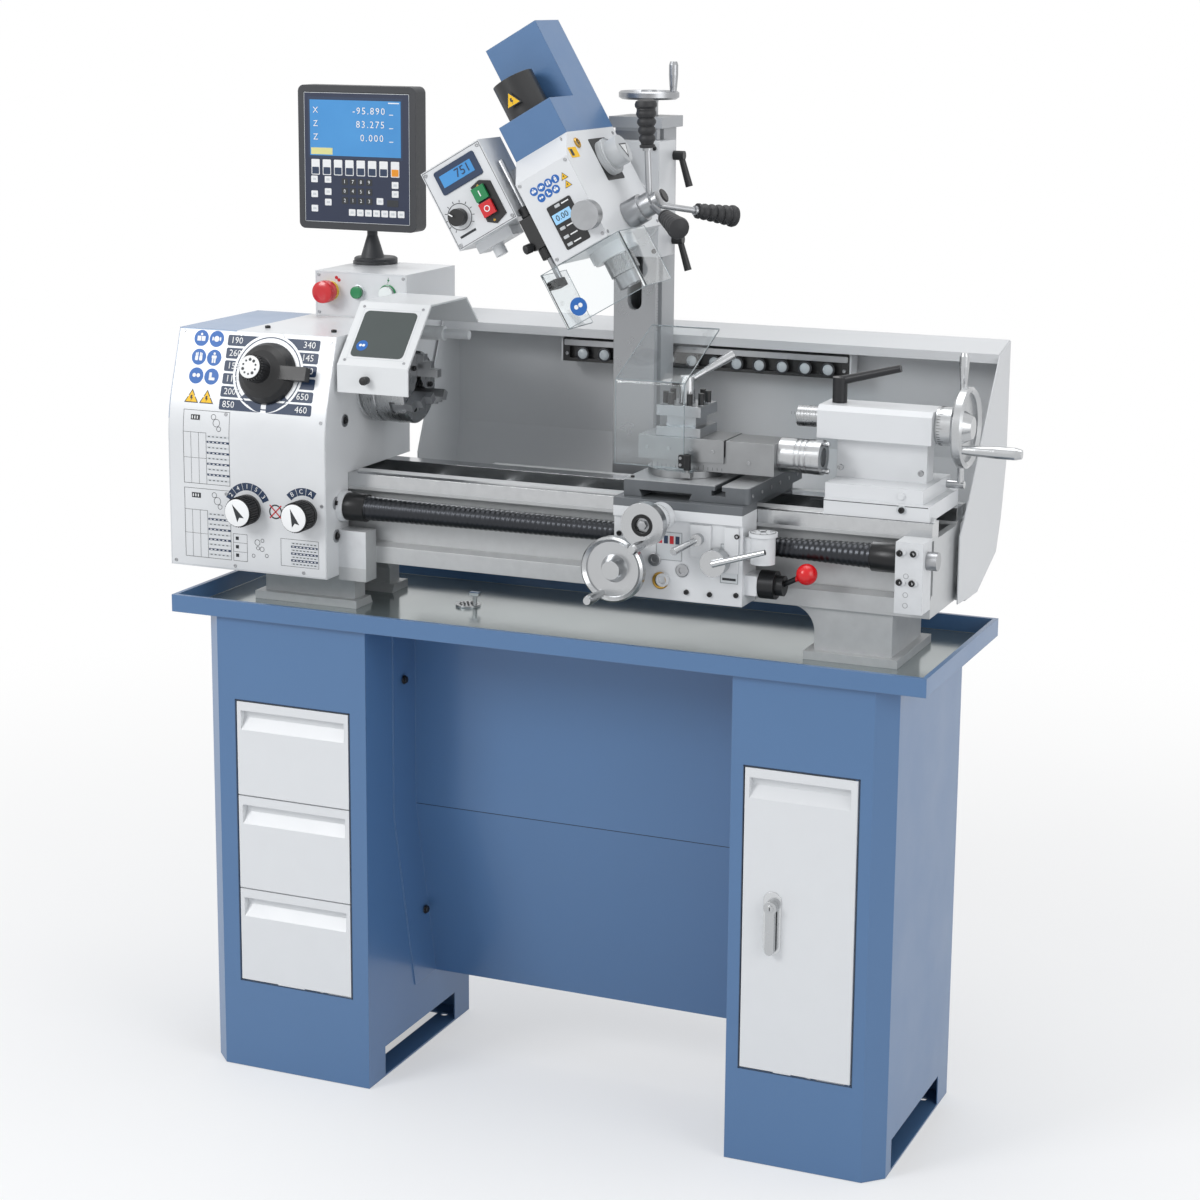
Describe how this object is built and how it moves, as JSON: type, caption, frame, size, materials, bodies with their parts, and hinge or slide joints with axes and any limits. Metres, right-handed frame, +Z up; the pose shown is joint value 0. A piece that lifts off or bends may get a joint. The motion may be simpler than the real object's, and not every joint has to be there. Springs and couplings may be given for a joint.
{
  "type": "combination_lathe_mill",
  "caption": "Bench lathe with a milling head on a rear column, digital readout, splash guard and chip tray, standing on two blue sheet-metal cabinets with drawers and a door.",
  "frame": {"origin": "Floor level, centre of the four outer floor bolts, which is mid-width and mid-depth of the cabinets.", "axes": "+X along the lathe bed from headstock to tailstock, +Y to the back, +Z up."},
  "size_m": [1.4734, 0.6275, 1.8242],
  "materials": {
    "blue_paint": "satin",
    "white_paint": "satin",
    "grey_cast": "machined",
    "steel": "brushed",
    "bright_steel": "polished",
    "dark_cast": "ground",
    "black_plastic": "matte",
    "grey_plastic": "matte",
    "red_plastic": "gloss",
    "green_plastic": "gloss",
    "white_plastic": "gloss",
    "clear_plastic": "clear",
    "aluminium": "turned",
    "sheet_grey": "satin",
    "black_steel": "black oxide"
  },
  "bodies": {
    "stand": {"cabinets": "blue_paint", "chip_tray": "blue_paint", "bed": "grey_cast", "headstock": "white_paint", "control_box": "white_paint", "power_lamp": "white_plastic", "splash_guard": "sheet_grey", "column": "grey_cast"},
    "drawer_top": {"drawer_top": "white_paint"},
    "drawer_middle": {"drawer_middle": "white_paint"},
    "drawer_bottom": {"drawer_bottom": "white_paint"},
    "door": {"cabinet_door": "white_paint"},
    "latch": {"door_latch": "bright_steel"},
    "speed_knob": {"speed_knob": "black_plastic"},
    "feed_knob_left": {"feed_knob_left": "black_plastic"},
    "feed_knob_right": {"feed_knob_right": "black_plastic"},
    "chuck": {"chuck": "steel"},
    "jaw_a": {"chuck_jaw_a": "dark_cast"},
    "jaw_b": {"chuck_jaw_b": "dark_cast"},
    "jaw_c": {"chuck_jaw_c": "dark_cast"},
    "chuck_guard": {"chuck_guard": "sheet_grey"},
    "estop": {"estop_button": "red_plastic"},
    "start": {"start_button": "green_plastic"},
    "readout": {"readout": "grey_plastic"},
    "lead_screw": {"lead_screw": "steel"},
    "carriage": {"saddle": "white_paint", "screw_cover_left": "black_steel", "screw_cover_right": "black_steel"},
    "apron_wheel": {"apron_wheel": "aluminium"},
    "cross_slide": {"cross_slide": "dark_cast"},
    "cross_crank": {"cross_crank": "aluminium"},
    "compound": {"compound_base": "steel"},
    "top_slide": {"top_slide": "steel"},
    "top_crank": {"top_slide_crank": "aluminium"},
    "tool_post": {"tool_post": "steel"},
    "post_lever": {"tool_post_lever": "bright_steel"},
    "tool_guard": {"tool_guard": "clear_plastic"},
    "feed_lever": {"feed_lever": "aluminium"},
    "half_nut_lever": {"half_nut_lever": "aluminium"},
    "switch_lever": {"switch_lever": "black_plastic"},
    "tailstock": {"tailstock": "white_paint"},
    "quill": {"quill": "steel"},
    "tail_wheel": {"tailstock_wheel": "aluminium"},
    "quill_lock": {"quill_lock_lever": "black_steel"},
    "tail_clamp": {"tail_clamp_lever": "steel"},
    "head_carriage": {"head_carriage": "white_paint"},
    "column_screw": {"column_screw": "steel"},
    "lock_top": {"lock_lever_top": "black_plastic"},
    "lock_bottom": {"lock_lever_bottom": "black_plastic"},
    "mill_head": {"mill_head": "white_paint", "mill_control_box": "white_plastic"},
    "mill_speed": {"mill_speed_knob": "black_plastic"},
    "mill_start": {"mill_start_button": "green_plastic"},
    "mill_stop": {"mill_stop_button": "red_plastic"},
    "mill_quill": {"mill_quill": "steel"},
    "capstan": {"capstan": "aluminium"},
    "mill_spindle": {"mill_spindle": "bright_steel"},
    "gear_selector": {"gear_selector": "aluminium"},
    "fine_knob": {"fine_knob": "aluminium"},
    "mill_guard": {"mill_guard": "clear_plastic"}
  },
  "joints": [
    {"name": "drawer_top_slide", "type": "slide", "parent": "stand", "child": "drawer_top", "axis": [0, -1, 0], "range_m": [0, 0.28]},
    {"name": "drawer_middle_slide", "type": "slide", "parent": "stand", "child": "drawer_middle", "axis": [0, -1, 0], "range_m": [0, 0.28]},
    {"name": "drawer_bottom_slide", "type": "slide", "parent": "stand", "child": "drawer_bottom", "axis": [0, -1, 0], "range_m": [0, 0.28]},
    {"name": "door_hinge", "type": "hinge", "parent": "stand", "child": "door", "pos_m": [0.563, -0.1945, 0.415], "axis": [0, 0, 1], "range_deg": [0, 105]},
    {"name": "latch_turn", "type": "hinge", "parent": "door", "child": "latch", "pos_m": [0.429, -0.198, 0.44435], "axis": [0, 1, 0], "range_deg": [0, 90]},
    {"name": "speed_knob_turn", "type": "hinge", "parent": "stand", "child": "speed_knob", "pos_m": [-0.52785, -0.11206, 1.22793], "axis": [0, -0.9511, 0.309], "continuous": true},
    {"name": "feed_left_turn", "type": "hinge", "parent": "stand", "child": "feed_knob_left", "pos_m": [-0.55788, -0.139, 0.995], "axis": [0, -1, 0], "range_deg": [-60, 60]},
    {"name": "feed_right_turn", "type": "hinge", "parent": "stand", "child": "feed_knob_right", "pos_m": [-0.4479, -0.139, 0.995], "axis": [0, -1, 0], "range_deg": [-45, 45]},
    {"name": "chuck_spin", "type": "hinge", "parent": "stand", "child": "chuck", "pos_m": [-0.354, 0.03, 1.2], "axis": [1, 0, 0], "continuous": true},
    {"name": "jaw_a_slide", "type": "slide", "parent": "chuck", "child": "jaw_a", "axis": [0, 0, 1], "range_m": [-0.008, 0.008]},
    {"name": "jaw_b_slide", "type": "slide", "parent": "chuck", "child": "jaw_b", "axis": [0, -0.866, -0.5], "range_m": [-0.008, 0.008]},
    {"name": "jaw_c_slide", "type": "slide", "parent": "chuck", "child": "jaw_c", "axis": [0, 0.866, -0.5], "range_m": [-0.008, 0.008]},
    {"name": "chuck_guard_lift", "type": "hinge", "parent": "stand", "child": "chuck_guard", "pos_m": [-0.331, 0.14, 1.28], "axis": [-1, 0, 0], "range_deg": [0, 80]},
    {"name": "estop_push", "type": "slide", "parent": "stand", "child": "estop", "axis": [0, 1, 0], "range_m": [0, 0.005], "stiffness_N_per_m": 500, "springref_m": -0.002},
    {"name": "start_push", "type": "slide", "parent": "stand", "child": "start", "axis": [0, 1, 0], "range_m": [0, 0.004], "stiffness_N_per_m": 400, "springref_m": -0.002},
    {"name": "readout_swivel", "type": "hinge", "parent": "stand", "child": "readout", "pos_m": [-0.545, 0.3, 1.39], "axis": [0, 0, 1], "range_deg": [-60, 60]},
    {"name": "lead_screw_spin", "type": "hinge", "parent": "stand", "child": "lead_screw", "pos_m": [0.1, -0.082, 1.004], "axis": [1, 0, 0], "continuous": true},
    {"name": "carriage_slide", "type": "slide", "parent": "stand", "child": "carriage", "axis": [1, 0, 0], "range_m": [-0.3, 0.075], "deforming": ["screw_cover_left", "screw_cover_right"]},
    {"name": "apron_wheel_turn", "type": "hinge", "parent": "carriage", "child": "apron_wheel", "pos_m": [0.137, -0.15, 0.9623], "axis": [0, 1, 0], "range_deg": [-5401, 1351]},
    {"name": "cross_slide_slide", "type": "slide", "parent": "carriage", "child": "cross_slide", "axis": [0, 1, 0], "range_m": [-0.08, 0.036]},
    {"name": "cross_crank_turn", "type": "hinge", "parent": "carriage", "child": "cross_crank", "pos_m": [0.203, -0.205, 1.0473], "axis": [0, 1, 0], "range_deg": [-9601, 4321]},
    {"name": "compound_swivel", "type": "hinge", "parent": "cross_slide", "child": "compound", "pos_m": [0.202, -0.02, 1.106], "axis": [0, 0, 1], "range_deg": [-45, 45]},
    {"name": "top_slide_slide", "type": "slide", "parent": "compound", "child": "top_slide", "axis": [1, 0, 0], "range_m": [-0.05, 0]},
    {"name": "top_crank_turn", "type": "hinge", "parent": "compound", "child": "top_crank", "pos_m": [0.4, -0.02, 1.1429], "axis": [-1, 0, 0], "range_deg": [0, 6001]},
    {"name": "tool_post_index", "type": "hinge", "parent": "top_slide", "child": "tool_post", "pos_m": [0.202, -0.02, 1.19], "axis": [0, 0, 1], "continuous": true},
    {"name": "post_lever_turn", "type": "hinge", "parent": "top_slide", "child": "post_lever", "pos_m": [0.202, -0.02, 1.24], "axis": [0, 0, 1], "range_deg": [0, 60]},
    {"name": "tool_guard_swing", "type": "hinge", "parent": "compound", "child": "tool_guard", "pos_m": [0.227, -0.0805, 1.125], "axis": [0, 0, 1], "range_deg": [0, 100]},
    {"name": "feed_lever_turn", "type": "hinge", "parent": "carriage", "child": "feed_lever", "pos_m": [0.26663, -0.13, 1.015], "axis": [0, 1, 0], "range_deg": [-30, 30]},
    {"name": "half_nut_turn", "type": "hinge", "parent": "carriage", "child": "half_nut_lever", "pos_m": [0.29993, -0.14, 0.982], "axis": [0, 1, 0], "range_deg": [0, 30]},
    {"name": "switch_turn", "type": "hinge", "parent": "carriage", "child": "switch_lever", "pos_m": [0.375, -0.093, 0.94353], "axis": [1, 0, 0], "range_deg": [-18, 18]},
    {"name": "tailstock_slide", "type": "slide", "parent": "stand", "child": "tailstock", "axis": [1, 0, 0], "range_m": [-0.08, 0]},
    {"name": "quill_slide", "type": "slide", "parent": "tailstock", "child": "quill", "axis": [1, 0, 0], "range_m": [-0.06, 0]},
    {"name": "tail_wheel_turn", "type": "hinge", "parent": "tailstock", "child": "tail_wheel", "pos_m": [0.65, 0.03, 1.2], "axis": [-1, 0, 0], "range_deg": [0, 7201]},
    {"name": "quill_lock_turn", "type": "hinge", "parent": "tailstock", "child": "quill_lock", "pos_m": [0.446, 0.03, 1.24], "axis": [0, 0, 1], "range_deg": [-60, 60]},
    {"name": "tail_clamp_turn", "type": "hinge", "parent": "tailstock", "child": "tail_clamp", "pos_m": [0.63, 0.088, 1.0963], "axis": [-1, 0, 0], "range_deg": [0, 40]},
    {"name": "head_slide", "type": "slide", "parent": "stand", "child": "head_carriage", "axis": [0, 0, 1], "range_m": [-0.09, 0.015]},
    {"name": "column_screw_turn", "type": "hinge", "parent": "stand", "child": "column_screw", "pos_m": [0.0215, 0.246, 1.7], "axis": [0, 0, 1], "range_deg": [-10801, 1801]},
    {"name": "lock_top_turn", "type": "hinge", "parent": "head_carriage", "child": "lock_top", "pos_m": [0.085, 0.22203, 1.599], "axis": [1, 0, 0], "range_deg": [-40, 40]},
    {"name": "lock_bottom_turn", "type": "hinge", "parent": "head_carriage", "child": "lock_bottom", "pos_m": [0.085, 0.22203, 1.456], "axis": [1, 0, 0], "range_deg": [-40, 40]},
    {"name": "head_tilt", "type": "hinge", "parent": "head_carriage", "child": "mill_head", "pos_m": [0.0215, 0.15, 1.502], "axis": [0, 1, 0], "range_deg": [-15, 75]},
    {"name": "mill_speed_turn", "type": "hinge", "parent": "mill_head", "child": "mill_speed", "pos_m": [-0.18572, -0.075, 1.50548], "axis": [0, 1, 0], "range_deg": [0, 270]},
    {"name": "mill_start_push", "type": "slide", "parent": "mill_head", "child": "mill_start", "axis": [0, 1, 0], "range_m": [0, 0.003], "stiffness_N_per_m": 400, "springref_m": -0.002},
    {"name": "mill_stop_push", "type": "slide", "parent": "mill_head", "child": "mill_stop", "axis": [0, 1, 0], "range_m": [0, 0.003], "stiffness_N_per_m": 400, "springref_m": -0.002},
    {"name": "mill_quill_slide", "type": "slide", "parent": "mill_head", "child": "mill_quill", "axis": [0.5, 0, -0.866], "range_m": [0, 0.05]},
    {"name": "capstan_turn", "type": "hinge", "parent": "mill_head", "child": "capstan", "pos_m": [0.11377, 0.025, 1.53218], "axis": [0.866, 0, 0.5], "range_deg": [0, 238.9]},
    {"name": "mill_spindle_spin", "type": "hinge", "parent": "mill_quill", "child": "mill_spindle", "pos_m": [0.0515, 0.03, 1.45004], "axis": [-0.5, 0, 0.866], "continuous": true},
    {"name": "gear_select_turn", "type": "hinge", "parent": "mill_head", "child": "gear_selector", "pos_m": [0.04012, 0.05, 1.60975], "axis": [0.866, 0, 0.5], "range_deg": [0, 90]},
    {"name": "fine_knob_turn", "type": "hinge", "parent": "mill_head", "child": "fine_knob", "pos_m": [0.05663, -0.1, 1.52124], "axis": [0, 1, 0], "continuous": true},
    {"name": "mill_guard_swing", "type": "hinge", "parent": "mill_head", "child": "mill_guard", "pos_m": [-0.04432, -0.047, 1.464], "axis": [0.5, 0, -0.866], "range_deg": [0, 100]}
  ],
  "couplings": [
    {"joint": "apron_wheel_turn", "follows": "carriage_slide", "rad_per_m": 314.16},
    {"joint": "cross_crank_turn", "follows": "cross_slide_slide", "rad_per_m": 2094.4},
    {"joint": "top_crank_turn", "follows": "top_slide_slide", "rad_per_m": -2094.4},
    {"joint": "tail_wheel_turn", "follows": "quill_slide", "rad_per_m": -2094.4},
    {"joint": "column_screw_turn", "follows": "head_slide", "rad_per_m": 2094.4},
    {"joint": "capstan_turn", "follows": "mill_quill_slide", "rad_per_m": 83.333},
    {"joint": "jaw_b_slide", "follows": "jaw_a_slide", "ratio": 1},
    {"joint": "jaw_c_slide", "follows": "jaw_a_slide", "ratio": 1}
  ]
}
